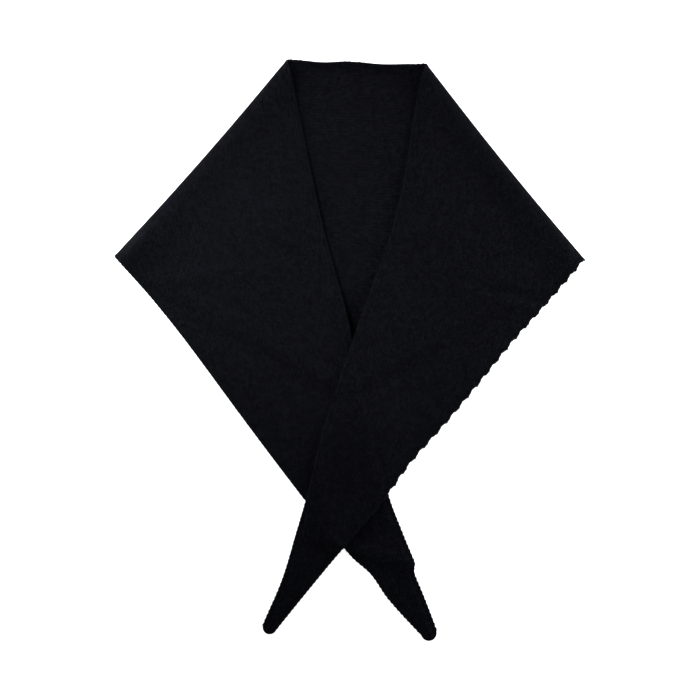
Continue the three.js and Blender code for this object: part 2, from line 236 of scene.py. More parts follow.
# The long edge: rise above the level of the neck edge, as shares of HALF_LENGTH and FULL_DEPTH
LONG_EDGE_ROWS = [
    {"along": -1.05, "rise": 0.265},
    {"along": -1.0, "rise": 0.247},
    {"along": -0.929, "rise": 0.213},
    {"along": -0.9, "rise": 0.197},
    {"along": -0.89, "rise": 0.1935},
    {"along": -0.884, "rise": 0.197},
    {"along": -0.877, "rise": 0.199},
    {"along": -0.869, "rise": 0.195},
    {"along": -0.836, "rise": 0.177},
    {"along": -0.771, "rise": 0.146},
    {"along": -0.643, "rise": 0.118},
    {"along": -0.5, "rise": 0.092},
    {"along": -0.357, "rise": 0.053},
    {"along": -0.214, "rise": 0.029},
    {"along": -0.086, "rise": 0.009},
    {"along": -0.043, "rise": -0.001},
    {"along": 0, "rise": 0.001},
    {"along": 0.05, "rise": -0.007},
    {"along": 0.1, "rise": -0.005},
    {"along": 0.143, "rise": 0.002},
    {"along": 0.214, "rise": -0.002},
    {"along": 0.3, "rise": -0.011},
    {"along": 0.371, "rise": -0.008},
    {"along": 0.429, "rise": 0.005},
    {"along": 0.5, "rise": 0.026},
    {"along": 0.571, "rise": 0.044},
    {"along": 0.643, "rise": 0.059},
    {"along": 0.714, "rise": 0.072},
    {"along": 0.786, "rise": 0.076},
    {"along": 0.857, "rise": 0.086},
    {"along": 0.929, "rise": 0.098},
    {"along": 1.0, "rise": 0.126},
    {"along": 1.06, "rise": 0.15},
]

# The two short edges: drop below the level of the neck edge, in the same shares
SHORT_EDGE_ROWS = [
    {"along": -1.05, "drop": -0.277},
    {"along": -1.0, "drop": -0.207},
    {"along": -0.929, "drop": -0.106},
    {"along": -0.886, "drop": -0.06},
    {"along": -0.857, "drop": -0.01},
    {"along": -0.771, "drop": 0.1},
    {"along": -0.643, "drop": 0.249},
    {"along": -0.5, "drop": 0.41},
    {"along": -0.429, "drop": 0.497},
    {"along": -0.357, "drop": 0.595},
    {"along": -0.296, "drop": 0.682},
    {"along": -0.214, "drop": 0.775},
    {"along": -0.08, "drop": 0.928},
    {"along": -0.036, "drop": 0.977},
    {"along": -0.014, "drop": 0.992},
    {"along": 0.007, "drop": 0.977},
    {"along": 0.089, "drop": 0.89},
    {"along": 0.214, "drop": 0.758},
    {"along": 0.357, "drop": 0.604},
    {"along": 0.429, "drop": 0.526},
    {"along": 0.5, "drop": 0.444},
    {"along": 0.571, "drop": 0.371},
    {"along": 0.643, "drop": 0.295},
    {"along": 0.714, "drop": 0.214},
    {"along": 0.786, "drop": 0.149},
    {"along": 0.857, "drop": 0.072},
    {"along": 0.929, "drop": -0.004},
    {"along": 1.0, "drop": -0.077},
    {"along": 1.06, "drop": -0.137},
]

# Storage creases, square to the long edge: a ridge, or with wide a valley in a broader ridge
CREASE_ROWS = [
    {"at_long": -0.411, "at_short": -0.402, "fade": 0.05, "whole": 0.7,
     "rise": 1.0, "reach": 1.0, "wide": 0},
    {"at_long": 0.006, "at_short": 0.006, "fade": 0.33, "whole": 0.05,
     "rise": 2.0, "reach": 0.45, "wide": 4},
    {"at_long": 0.4265, "at_short": 0.4325, "fade": 0.25, "whole": 0.8,
     "rise": 1.0, "reach": 0.55, "wide": 4},
    {"at_long": -0.881, "at_short": -0.841, "fade": -1, "whole": 0,
     "rise": 1.15, "reach": 1.4, "wide": 0},
    {"at_long": 0.889, "at_short": 0.861, "fade": -1, "whole": 0,
     "rise": 0.4, "reach": 1.1, "wide": 2.2},
]

# Short runs for slopes and directions, steps of the searches, and points of the measured curves
SLOPE_RUN = 0.001
DIRECTION_STEP = 0.0002
HALVINGS = 50
FOOT_STEPS = 12
ROLL_KNOTS = 400
LENGTH_KNOTS = 1200
LENGTH_KNOTS_REACH = 1.1

LAYER_STEP = THICKNESS + LAYER_GAP
TABLE_HEIGHT = THICKNESS / 2
FOLD_REACH = FOLD_RADIUS + THICKNESS / 2
CREST_REACH = ROLL_DEPTH + THICKNESS / 2


# Small helpers
def smooth(share):
    s = np.clip(share, 0, 1)
    return s * s * (3 - 2 * s)


def lerp(a, b, share):
    return a + (b - a) * share


class EdgeCurve:
    """A smooth curve through rows, as a height over the distance from the middle."""

    def __init__(self, rows, column, sign):
        self.x = np.array([row["along"] for row in rows]) * HALF_LENGTH
        self.y = np.array([row[column] for row in rows]) * FULL_DEPTH * sign
        before = np.maximum(np.arange(len(rows)) - 1, 0)
        after = np.minimum(np.arange(len(rows)) + 1, len(rows) - 1)
        self.slope = (self.y[after] - self.y[before]) / (self.x[after] - self.x[before])

    def __call__(self, x):
        x = np.asarray(x, float)
        k = np.clip(np.searchsorted(self.x, x) - 1, 0, len(self.x) - 2)
        span = self.x[k + 1] - self.x[k]
        u = (x - self.x[k]) / span
        inside = np.clip(u, 0, 1)
        bend = inside * (1 - inside) * span
        bend = bend * (self.slope[k] * (1 - inside) - self.slope[k + 1] * inside)
        height = lerp(self.y[k], self.y[k + 1], smooth(inside)) + bend
        past_slope = np.where(u < 0, self.slope[k], self.slope[k + 1])
        return height + past_slope * span * (u - inside)


def slope_cosine(curve, x):
    rise = curve(x + SLOPE_RUN / 2) - curve(x - SLOPE_RUN / 2)
    return SLOPE_RUN / np.hypot(SLOPE_RUN, rise)


long_edge = EdgeCurve(LONG_EDGE_ROWS, "rise", 1)
short_edge = EdgeCurve(SHORT_EDGE_ROWS, "drop", -1)
apex_x = HALF_LENGTH * max(SHORT_EDGE_ROWS, key=lambda row: row["drop"])["along"]


def clouds(x, y, size, seed):
    """Soft seeded noise between -1 and 1 whose patches are about size across."""
    rng = np.random.default_rng(seed)
    total = np.zeros_like(x)
    for weight in CLOUD_WEIGHTS:
        cells = rng.uniform(-1, 1, (CLOUD_CELLS, CLOUD_CELLS))
        turn = rng.uniform(0, math.pi)
        u = (x * math.cos(turn) - y * math.sin(turn)) / size + CLOUD_CORNER
        v = (x * math.sin(turn) + y * math.cos(turn)) / size + CLOUD_CORNER
        i = np.floor(u).astype(int)
        j = np.floor(v).astype(int)
        a = smooth(u - i)
        b = smooth(v - j)
        i0 = i % CLOUD_CELLS
        i1 = (i + 1) % CLOUD_CELLS
        j0 = j % CLOUD_CELLS
        j1 = (j + 1) % CLOUD_CELLS
        low = lerp(cells[i0, j0], cells[i1, j0], a)
        high = lerp(cells[i0, j1], cells[i1, j1], a)
        total += weight * lerp(low, high, b)
        size *= CLOUD_SHRINK
    return total


# The fold lines, each from the neck edge down to its corner
class Fold:
    def __init__(self, from_middle, angle, side):
        self.start = np.array([side * from_middle, 0.0])
        self.down = np.array([side * math.cos(angle), -math.sin(angle)])
        self.out = np.array([side * math.sin(angle), math.cos(angle)])
        self.length = float(np.hypot(*(self.edge_on_parallel(0.0, short_edge) - self.start)))

    def measured(self, x, y):
        """How far out from the fold line and how far down along it a place lies."""
        dx = x - self.start[0]
        dy = y - self.start[1]
        return dx * self.out[0] + dy * self.out[1], dx * self.down[0] + dy * self.down[1]

    def edge_on_parallel(self, out, curve):
        above = -FULL_DEPTH
        below = 3 * FULL_DEPTH
        for _ in range(HALVINGS):
            middle = (above + below) / 2
            place = self.start + self.out * out + self.down * middle
            if place[1] > curve(place[0]):
                above = middle
            else:
                below = middle
        return place

    def unfolded(self, x, y):
        out, _ = self.measured(x, y)
        return x - 2 * out * self.out[0], y - 2 * out * self.out[1]


left_fold = Fold(LEFT_FOLD_FROM_MIDDLE, LEFT_FOLD_ANGLE, -1)
right_fold = Fold(RIGHT_FOLD_FROM_MIDDLE, RIGHT_FOLD_ANGLE, 1)


# The tips, where the edges have come together to the width of the round end
def tip_middle_line(x):
    return (long_edge(x) + short_edge(x)) / 2


class Tip:
    def __init__(self, side, radius):
        inner = side * HALF_LENGTH * 0.5
        outer = side * HALF_LENGTH * 1.2
        for _ in range(HALVINGS):
            middle = (inner + outer) / 2
            width = (long_edge(middle) - short_edge(middle)) * slope_cosine(tip_middle_line, middle)
            if width > 2 * radius:
                inner = middle
            else:
                outer = middle
        step = SLOPE_RUN * side
        self.radius = radius
        self.centre = np.array([inner, float(tip_middle_line(inner))])
        ahead = np.array([inner + step, float(tip_middle_line(inner + step))]) - self.centre
        self.axis = ahead / np.hypot(*ahead)
        self.across = np.array([-self.axis[1], self.axis[0]]) * side

    def ends(self, angle):
        """The two ends of the chord at an angle round the tip: long edge side, short edge side."""
        forward = self.centre + self.axis * self.radius * math.sin(angle)
        sideways = self.across * self.radius * math.cos(angle)
        return forward + sideways, forward - sideways


left_tip = Tip(-1, LEFT_TIP_RADIUS)
right_tip = Tip(1, RIGHT_TIP_RADIUS)


# Heights of the layers
def supported(outside, step_length):
    return 1 - smooth((outside - STEP_START) / step_length)


def over_panel(x, y, bridge):
    return supported((short_edge(x) - y) * slope_cosine(short_edge, x) - bridge, STEP_LENGTH)


def over_left_wing(x, y):
    past_long = (y - long_edge(x)) * slope_cosine(long_edge, x)
    past_short = (short_edge(x) - y) * slope_cosine(short_edge, x)
    past_tip = left_tip.centre[0] - x - left_tip.radius
    beside_long = supported(past_long - TOP_LAYER_BRIDGE, SOFT_STEP_LENGTH)
    return beside_long * supported(np.maximum(past_short, past_tip) - TOP_LAYER_BRIDGE, STEP_LENGTH)


def crease_height(x, y):
    across = (long_edge(x) - y) / (long_edge(x) - short_edge(x))
    height = np.zeros_like(x)
    for row in CREASE_ROWS:
        crease = lerp(row["at_long"], row["at_short"], across) * HALF_LENGTH
        away = ((x - crease) / (row["reach"] * CREASE_REACH)) ** 2
        swell = np.exp(-away)
        if row["wide"]:
            swell = np.exp(-away / row["wide"] ** 2) - swell
        strength = smooth((across - row["fade"]) / (row["whole"] - row["fade"]))
        height += row["rise"] * CREASE_HEIGHT * swell * strength
    return height


def puff(x, y):
    return PUFF_HEIGHT * smooth((long_edge(x) - y) * slope_cosine(long_edge, x) / PUFF_REACH)


def left_wing_height(flat_x, flat_y, x, y):
    own = crease_height(flat_x, flat_y) + puff(flat_x, flat_y)
    return TABLE_HEIGHT + LAYER_STEP * over_panel(x, y, 0) + own


def right_wing_height(flat_x, flat_y, x, y):
    below_x, below_y = left_fold.unfolded(x, y)
    below = LAYER_STEP + crease_height(below_x, below_y) + puff(below_x, below_y)
    lifted = below * over_left_wing(below_x, below_y)
    panel = LAYER_STEP * over_panel(x, y, TOP_LAYER_BRIDGE)
    own = crease_height(flat_x, flat_y) + puff(flat_x, flat_y)
    return TABLE_HEIGHT + panel + lifted + own


# The upper half of a roll is long and low: equal steps along it as turns of its ellipse
roll_turns = np.linspace(0, math.pi / 2, ROLL_KNOTS)
roll_steps = np.hypot(ROLL_DEPTH * np.sin(roll_turns), ROLL_HEIGHT * np.cos(roll_turns))
roll_arc = np.concatenate([[0], np.cumsum((roll_steps[1:] + roll_steps[:-1]) / 2)])
roll_arc /= roll_arc[-1]


# Folding: from places of the flat triangle to the middle of the sheet as it lies
def fold_over(fold, wing_height, x, y):
    out, down = fold.measured(x, y)
    bow = FOLD_BOW * np.sin(math.pi * np.clip(down / fold.length, 0, 1))
    inward = bow * np.exp(-((out / FOLD_BOW_REACH) ** 2))
    lower = np.clip((out + FOLD_REACH) / FOLD_REACH, 0, 1) * math.pi / 2
    upper = np.interp(out / CREST_REACH, roll_arc, roll_turns)
    reached = np.where(out > -FOLD_REACH, FOLD_RADIUS * np.sin(lower) - FOLD_REACH, out)
    reached = np.where(out > 0, ROLL_DEPTH * np.cos(upper) - CREST_REACH, reached)
    reached = np.where(out > CREST_REACH, -out, reached)
    folded_x = x + fold.out[0] * (reached - out - inward)
    folded_y = y + fold.out[1] * (reached - out - inward)
    rolled = TABLE_HEIGHT + FOLD_RADIUS * (1 - np.cos(lower)) + ROLL_HEIGHT * np.sin(upper)
    settled = wing_height(x, y, folded_x, folded_y)
    near_corner = smooth((down / fold.length - CORNER_FROM) / (CORNER_WHOLE - CORNER_FROM))
    settle = FOLD_SETTLE * lerp(1, CORNER_SETTLE, near_corner)
    share = smooth((out - CREST_REACH) / settle)
    return np.stack([folded_x, folded_y, lerp(rolled, settled, share)], -1)


def folded_place(x, y):
    x = np.asarray(x, float)
    y = np.asarray(y, float)
    left_out, _ = left_fold.measured(x, y)
    right_out, _ = right_fold.measured(x, y)
    on_left = (left_out > right_out)[..., None]
    left = fold_over(left_fold, left_wing_height, x, y)
    right = fold_over(right_fold, right_wing_height, x, y)
    place = np.where(on_left, left, right)
    turned = smooth((np.maximum(left_out, right_out) + FOLD_REACH) / (CREST_REACH + FOLD_REACH))
    on_panel = crease_height(x, y) + neck_curl(x, y) + swell_height(place, PANEL_SWELLS)
    on_wings = swell_height(place, WING_SWELLS)
    place[..., 2] += softness(place[..., 0], place[..., 1]) + lerp(on_panel, on_wings, turned)
    return place


def softness(x, y):
    """The gentle unevenness that every layer shares, never below the surface it lies on."""
    return UNEVEN_HEIGHT * (1 + clouds(x, y, UNEVEN_SIZE, UNEVEN_SEED))


def swell_height(place, rows):
    height = np.zeros_like(place[..., 0])
    for row in rows:
        turn = math.radians(row["turn"])
        dx = place[..., 0] - row["x"] + part_middle[0]
        dy = place[..., 1] - row["y"] + part_middle[1]
        along = (dx * math.cos(turn) + dy * math.sin(turn)) / row["along"]
        across = (dy * math.cos(turn) - dx * math.sin(turn)) / row["across"]
        height += row["rise"] * np.exp(-(along**2) - across**2)
    return height


def neck_curl(x, y):
    """The rise of the neck edge, which fades out where the folds begin."""
    away = (long_edge(x) - y) * slope_cosine(long_edge, x)
    left_out, _ = left_fold.measured(x, y)
    right_out, _ = right_fold.measured(x, y)
    inside = smooth((-np.maximum(left_out, right_out) - FOLD_REACH) / CURL_FROM_FOLD)
    return CURL_HEIGHT * np.clip(1 - away / CURL_REACH, 0, 1) ** 2 * inside


def folded_frame(x, y):
    """Folded places with the direction that was up on the flat triangle."""
    step = DIRECTION_STEP
    along_x = folded_place(x + step, y) - folded_place(x - step, y)
    along_y = folded_place(x, y + step) - folded_place(x, y - step)
    up = np.cross(along_x, along_y)
    return folded_place(x, y), up / np.linalg.norm(up, axis=-1, keepdims=True)


# Scallops, a slow climb and a quick fall in each, a little longer toward the tail
right_corner = right_fold.edge_on_parallel(0.0, short_edge)
right_run = right_tip.centre - right_corner
right_run_length = float(np.hypot(*right_run))


def scallop_at(x):
    run = (x - right_corner[0]) * right_run_length / right_run[0] - SCALLOP_START
    ahead = SCALLOP_PITCH**2 + 2 * SCALLOP_STRETCH * run
    phase = ((np.sqrt(np.maximum(ahead, 0)) - SCALLOP_PITCH) / SCALLOP_STRETCH) % 1
    share = np.where(phase < SCALLOP_CLIMB, phase / SCALLOP_CLIMB, (1 - phase) / (1 - SCALLOP_CLIMB))
    fading = smooth((SCALLOP_END - x / HALF_LENGTH) / (SCALLOP_END - SCALLOP_FADE))
    return np.where(x < apex_x, 0, (smooth(share) - 0.5) * SCALLOP_HEIGHT * fading)


def scalloped_edge(x):
    return short_edge(x) - scallop_at(x) / slope_cosine(short_edge, x)


# Sections across the flat triangle, each from a place on the long edge to one on the short edge
def sections():
    rows = []

    def add_between(top_x, bottom_x):
        rows.append([top_x, float(long_edge(top_x)), bottom_x, float(scalloped_edge(bottom_x))])

    def add_beside(fold, out):
        add_between(fold.edge_on_parallel(out, long_edge)[0], fold.edge_on_parallel(out, short_edge)[0])

    def wing(fold, tip, count):
        for angle in np.linspace(TIP_LAST_ANGLE, 0, TIP_SECTIONS):
            top, bottom = tip.ends(angle)
            rows.append([*top, *bottom])
        root_top, root_bottom = tip.ends(0)
        last_top = fold.edge_on_parallel(CREST_REACH + FOLD_SETTLE, long_edge)[0]
        last_bottom = fold.edge_on_parallel(CREST_REACH + FOLD_SETTLE, short_edge)[0]
        for share in np.linspace(0, 1, count + 1)[1:-1]:
            add_between(lerp(root_top[0], last_top, share), lerp(root_bottom[0], last_bottom, share))
        for share in np.linspace(1, 0, SETTLE_SECTIONS + 1)[:-1]:
            add_beside(fold, CREST_REACH + FOLD_SETTLE * share)
        for share in np.linspace(1, 0, ROLL_SECTIONS + 1)[:-1]:
            add_beside(fold, CREST_REACH * share)
        for share in np.linspace(0, -1, UNDER_SECTIONS + 1):
            add_beside(fold, FOLD_REACH * share)

    wing(left_fold, left_tip, LEFT_WING_SECTIONS)
    left = rows[:]
    rows.clear()
    wing(right_fold, right_tip, RIGHT_WING_SECTIONS)
    right = rows[::-1]
    rows = left
    for share in np.linspace(0, 1, PANEL_SECTIONS + 1)[1:-1]:
        add_between(lerp(left[-1][0], right[0][0], share), lerp(left[-1][2], right[0][2], share))
    return np.array(rows + right)


# How far a place of the flat triangle lies along the long edge, for the lie of the stitches
length_knots = np.linspace(-LENGTH_KNOTS_REACH, LENGTH_KNOTS_REACH, LENGTH_KNOTS) * HALF_LENGTH
length_steps = np.hypot(np.diff(length_knots), np.diff(long_edge(length_knots)))
length_along = np.concatenate([[0], np.cumsum(length_steps)])
length_along -= np.interp(0, length_knots, length_along)


# The wales follow the long edge, but not its small waves once they are well inside it
calm_reach = np.arange(-CALM_KNOTS, CALM_KNOTS + 1)
calm_weights = np.exp(-((calm_reach * (length_knots[1] - length_knots[0]) / CALM_SPAN) ** 2))
calm_edge = np.convolve(
    np.pad(long_edge(length_knots), CALM_KNOTS, mode="reflect", reflect_type="odd"),
    calm_weights / calm_weights.sum(),
    mode="valid",
)
calm_slope = np.gradient(calm_edge, length_knots)


def stitch_place(x, y):
    """Courses along the long edge and wales down from it, at places of the flat triangle."""
    foot = x
    for _ in range(FOOT_STEPS):
        slope = np.interp(foot, length_knots, calm_slope)
        above = np.interp(foot, length_knots, calm_edge) - y
        foot = foot + (x - foot - above * slope) / (1 + slope * slope)
    down = np.hypot(x - foot, np.interp(foot, length_knots, calm_edge) - y)
    wave = long_edge(x) - np.interp(x, length_knots, calm_edge)
    down = down + wave * np.exp(-down / WAVE_DEPTH)
    return np.interp(foot, length_knots, length_along) / COURSE, down / WALE


def edge_relief(x, y):
    """Relief of the knitted edge: the bead and its groove."""
    away = (long_edge(x) - y) * slope_cosine(long_edge, x)
    bead = BEAD_HEIGHT * np.exp(-(((away - BEAD_FROM_EDGE) / BEAD_WIDTH) ** 2))
    groove = GROOVE_DEPTH * np.exp(-(((away - GROOVE_FROM_EDGE) / GROOVE_WIDTH) ** 2))
    return bead - groove


def new_mesh_object(name, vertices, faces, material):
    mesh = bpy.data.meshes.new(name)
    mesh.from_pydata(vertices.tolist(), [], faces)
    mesh.validate()
    mesh.polygons.foreach_set("use_smooth", np.ones(len(mesh.polygons), bool))
    mesh.materials.append(material)
    piece = bpy.data.objects.new(name, mesh)
    bpy.context.scene.collection.objects.link(piece)
    return piece


def build_sheet(material, centre_shift):
    """The whole knitted triangle: every section is a closed loop round the cloth."""
    rows = sections()
    inset = THICKNESS / 2
    top = rows[:, 0:2]
    bottom = rows[:, 2:4]
    run = bottom - top
    run /= np.linalg.norm(run, axis=1, keepdims=True)
    near_edge = np.linspace(0, EDGE_SHARE, EDGE_COLUMNS + 1)[:-1]
    share = np.concatenate([near_edge, np.linspace(EDGE_SHARE, 1, COLUMNS - EDGE_COLUMNS + 1)])
    narrow = np.minimum(inset, np.linalg.norm(bottom - top, axis=1) * MOST_INSET)[:, None]
    inner_top = top + run * narrow
    inner_bottom = bottom - run * narrow
    flat = inner_top[:, None, :] + (inner_bottom - inner_top)[:, None, :] * share[None, :, None]
    middle, up = folded_frame(flat[..., 0], flat[..., 1])

    # The visible side, up on the panel and down on the wings, carries the edge relief
    left_out, _ = left_fold.measured(flat[..., 0], flat[..., 1])
    right_out, _ = right_fold.measured(flat[..., 0], flat[..., 1])
    turned = smooth((np.maximum(left_out, right_out) + FOLD_REACH) / (2 * FOLD_REACH))
    relief = edge_relief(flat[..., 0], flat[..., 1])
    upper = middle + up * (THICKNESS / 2 + relief * (1 - turned))[..., None]
    lower = middle - up * (THICKNESS / 2 + relief * turned)[..., None]

    def round_edge(edge_flat, inner, inner_up, first_angle_up):
        edge_middle = folded_place(edge_flat[:, 0], edge_flat[:, 1])
        outward = edge_middle - inner
        angles = ROUND_ANGLES if first_angle_up else ROUND_ANGLES[::-1]
        points = [
            inner + outward * math.sin(angle) + inner_up * (math.cos(angle) * THICKNESS / 2)
            for angle in angles
        ]
        return np.stack(points, 1)

    short_round = round_edge(bottom, middle[:, -1], up[:, -1], True)
    long_round = round_edge(top, middle[:, 0], up[:, 0], False)
    loop = np.concatenate([upper, short_round, lower[:, ::-1], long_round], axis=1)

    # Places on the flat triangle for the stitches, in the same order
    rounds = len(ROUND_ANGLES)
    short_flat = np.repeat(bottom[:, None, :], rounds, 1)
    long_flat = np.repeat(top[:, None, :], rounds, 1)
    loop_flat = np.concatenate([flat, short_flat, flat[:, ::-1], long_flat], axis=1)

    count, around = loop.shape[:2]
    number = np.arange(count * around).reshape(count, around)
    a = number[:-1, :]
    b = np.roll(number, -1, axis=1)[:-1, :]
    c = np.roll(number, -1, axis=1)[1:, :]
    d = number[1:, :]
    faces = [np.stack([a, b, c, d], -1).reshape(-1, 4)]
    upper_row = np.arange(COLUMNS)
    lower_row = 2 * COLUMNS + 1 + rounds - upper_row
    cap_rows = [upper_row, lower_row, lower_row - 1, upper_row + 1]
    for end, flip in ((0, False), (count - 1, True)):
        cap = np.stack([number[end, row] for row in cap_rows], -1)
        faces.append(cap[:, ::-1] if flip else cap)
    vertices = loop.reshape(-1, 3) + centre_shift
    piece = new_mesh_object("knit_sheet", vertices, np.concatenate(faces).tolist(), material)
    courses, wales = stitch_place(loop_flat[..., 0].ravel(), loop_flat[..., 1].ravel())
    add_stitch_map(piece, courses, wales)
    return piece


def add_stitch_map(piece, courses, wales):
    mesh = piece.data
    corners = np.zeros(len(mesh.loops), np.int32)
    mesh.loops.foreach_get("vertex_index", corners)
    layer = mesh.uv_layers.new(name="stitches")
    values = np.stack([courses[corners], wales[corners]], -1).astype(np.float32)
    layer.data.foreach_set("uv", values.ravel())


# The stitches along the edges
def edge_runs():
    """Even places along the long edge and round the two short edges, from tip to tip."""
    runs = []
    for curve in (long_edge, scalloped_edge):
        x = np.linspace(left_tip.centre[0], right_tip.centre[0], LOOP_EDGE_SAMPLES)
        y = curve(x)
        length = np.concatenate([[0], np.cumsum(np.hypot(np.diff(x), np.diff(y)))])
        count = int(length[-1] / LOOP_LENGTH)
        even = (np.arange(count) + 0.5) * length[-1] / count
        ahead = even + SLOPE_RUN
        behind = even - SLOPE_RUN
        step_x = np.interp(ahead, length, x) - np.interp(behind, length, x)
        step_y = np.interp(ahead, length, y) - np.interp(behind, length, y)
        runs.append([np.interp(even, length, x), np.interp(even, length, y), step_x, step_y])
    return runs


def loop_shape():
    """One plump loop: along, across and up from its middle, with its two ends first and last."""
    half_length = LOOP_LENGTH * LOOP_OVERLAP / 2
    points = [[-half_length, 0, 0]]
    for level in np.linspace(0, math.pi, LOOP_RINGS + 2)[1:-1]:
        wide = math.sin(level)
        for angle in np.arange(LOOP_SIDES) * 2 * math.pi / LOOP_SIDES:
            across = LOOP_WIDTH / 2 * wide * math.cos(angle)
            rise = LOOP_HEIGHT / 2 * wide * math.sin(angle)
            points.append([-half_length * math.cos(level), across, rise])
    points.append([half_length, 0, 0])
    return np.array(points)


def loop_faces(last):
    """Triangles round the two ends and bands of four-sided faces between the rings."""
    faces = []
    low = 1 + (LOOP_RINGS - 1) * LOOP_SIDES
    for k in range(LOOP_SIDES):
        after = (k + 1) % LOOP_SIDES
        faces.append([0, 1 + after, 1 + k])
        faces.append([last, low + k, low + after])
    for ring in range(LOOP_RINGS - 1):
        a = 1 + ring * LOOP_SIDES
        b = a + LOOP_SIDES
        for k in range(LOOP_SIDES):
            after = (k + 1) % LOOP_SIDES
            faces.append([a + k, a + after, b + after, b + k])
    return faces


def build_edge_loops(name, run, side, material, centre_shift):
    """A chain of plump loops along one edge, each turned a little out of line with the edge."""
    x, y, step_x, step_y = run
    size = np.hypot(step_x, step_y)
    step_x = step_x / size
    step_y = step_y / size
    x = x + step_y * side * LOOP_INSET
    y = y - step_x * side * LOOP_INSET
    middle, up = folded_frame(x, y)
    ahead = folded_place(x + step_x * LOOP_LOOK_AHEAD, y + step_y * LOOP_LOOK_AHEAD) - middle
    ahead /= np.linalg.norm(ahead, axis=1, keepdims=True)
    across = np.cross(up, ahead)
    turn = math.radians(LOOP_TURN) * side
    along = ahead * math.cos(turn) + across * math.sin(turn)
    across = np.cross(up, along)

    shape = loop_shape()
    frame_axes = np.stack([along, across, up], 1)
    vertices = middle[:, None, :] + np.einsum("vk,nkc->nvc", shape, frame_axes)
    vertices[..., 2] = np.maximum(vertices[..., 2], LOOP_LOWEST)
    one_loop = loop_faces(len(shape) - 1)
    faces = []
    for first in range(0, len(x) * len(shape), len(shape)):
        faces.extend([first + corner for corner in face] for face in one_loop)
    return new_mesh_object(name, vertices.reshape(-1, 3) + centre_shift, faces, material)


# Materials
class Graph:
    """Short ways to add nodes to one material."""

    def __init__(self, name):
        self.material = bpy.data.materials.new(name)
        self.material.use_nodes = True
        self.nodes = self.material.node_tree.nodes
        self.links = self.material.node_tree.links
        self.shader = self.nodes["Principled BSDF"]

    def put(self, socket, value):
        if isinstance(value, bpy.types.NodeSocket):
            self.links.new(value, socket)
        else:
            socket.default_value = value

    def math(self, operation, *values):
        node = self.nodes.new("ShaderNodeMath")
        node.operation = operation
        for socket, value in zip(node.inputs, values):
            self.put(socket, value)
        return node.outputs[0]

    def noise(self, coordinates, scale, detail=2.0):
        node = self.nodes.new("ShaderNodeTexNoise")
        self.put(node.inputs["Vector"], coordinates)
        node.inputs["Scale"].default_value = scale
        node.inputs["Detail"].default_value = detail
        return node.outputs["Fac"]

    def colours(self, share, low, high):
        node = self.nodes.new("ShaderNodeMix")
        node.data_type = "RGBA"
        node.clamp_factor = False
        self.put(node.inputs["Factor"], share)
        node.inputs[6].default_value = (*low, 1)
        node.inputs[7].default_value = (*high, 1)
        return node.outputs[2]

    def bump(self, height, distance, strength=1.0):
        node = self.nodes.new("ShaderNodeBump")
        node.inputs["Strength"].default_value = strength
        node.inputs["Distance"].default_value = distance
        self.put(node.inputs["Height"], height)
        self.put(self.shader.inputs["Normal"], node.outputs["Normal"])


def set_wool_finish(shader):
    shader.inputs["Roughness"].default_value = WOOL_ROUGHNESS
    shader.inputs["Specular IOR Level"].default_value = WOOL_SPECULAR
    shader.inputs["Sheen Weight"].default_value = SHEEN
    shader.inputs["Sheen Roughness"].default_value = SHEEN_ROUGHNESS
    shader.inputs["Sheen Tint"].default_value = SHEEN_TINT


